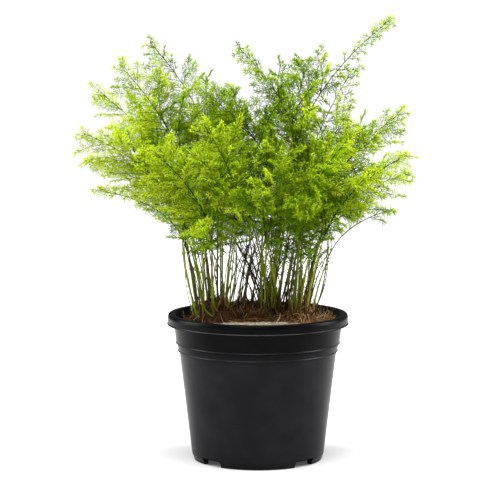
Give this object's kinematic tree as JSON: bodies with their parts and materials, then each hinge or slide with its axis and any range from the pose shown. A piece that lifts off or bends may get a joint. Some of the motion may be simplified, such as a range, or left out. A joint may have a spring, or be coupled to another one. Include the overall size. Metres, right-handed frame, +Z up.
{
  "type": "potted asparagus fern",
  "caption": "Feathery asparagus fern with wiry stems rising from fibrous crowns in a round black plastic nursery pot.",
  "frame": {"origin": "middle of the pot's foot, on the surface the pot stands on", "axes": "+Z up along the pot's axis; the plant's best side faces -Y and its tallest frond leans to +X"},
  "size_m": [0.233, 0.1607, 0.3148],
  "materials": {
    "pot_plastic": "fine satin moulded plastic",
    "soil": "loose peat and coir fibre",
    "crust": "dry pale lime and sand crust",
    "crown_fibre": "matted brown root fibre",
    "green_stem": "smooth wiry olive green stem",
    "dry_stem": "dry dark brown stem",
    "foliage": "soft bright green needle leaves"
  },
  "bodies": {
    "root": {"pot": "pot_plastic", "substrate": "soil", "lime_crust": "crust", "crown_left": "crown_fibre", "crown_centre": "crown_fibre", "crown_right": "crown_fibre", "crown_back": "crown_fibre", "stem_left_low": "green_stem", "stem_left_spread": "green_stem", "stem_left_edge": "green_stem", "stem_left_back": "green_stem", "stem_left_high": "green_stem", "stem_left_top": "green_stem", "stem_left_front": "green_stem", "stem_left_inner": "green_stem", "stem_left_curtain": "green_stem", "stem_top_arch": "green_stem", "stem_top_middle": "green_stem", "stem_top_spray": "green_stem", "stem_top_tall": "green_stem", "stem_top_side": "green_stem", "stem_front_middle": "green_stem", "stem_front_right": "green_stem", "stem_right_upper": "green_stem", "stem_right_high": "green_stem", "stem_right_spread": "green_stem", "stem_right_edge": "green_stem", "stem_right_low": "green_stem", "stem_back_left": "green_stem", "stem_back_middle": "green_stem", "stem_back_right": "green_stem", "stem_dry_left": "dry_stem", "stem_dry_middle": "dry_stem", "stem_dry_centre": "dry_stem", "stem_dry_right": "dry_stem", "stem_dry_edge": "dry_stem", "frond_left_low": "foliage", "frond_left_spread": "foliage", "frond_left_edge": "foliage", "frond_left_back": "foliage", "frond_left_high": "foliage", "frond_left_top": "foliage", "frond_left_front": "foliage", "frond_left_inner": "foliage", "frond_left_curtain": "foliage", "frond_top_arch": "foliage", "frond_top_middle": "foliage", "frond_top_spray": "foliage", "frond_top_tall": "foliage", "frond_top_side": "foliage", "frond_front_middle": "foliage", "frond_front_right": "foliage", "frond_right_upper": "foliage", "frond_right_high": "foliage", "frond_right_spread": "foliage", "frond_right_edge": "foliage", "frond_right_low": "foliage", "frond_back_left": "foliage", "frond_back_middle": "foliage", "frond_back_right": "foliage"}
  },
  "joints": []
}
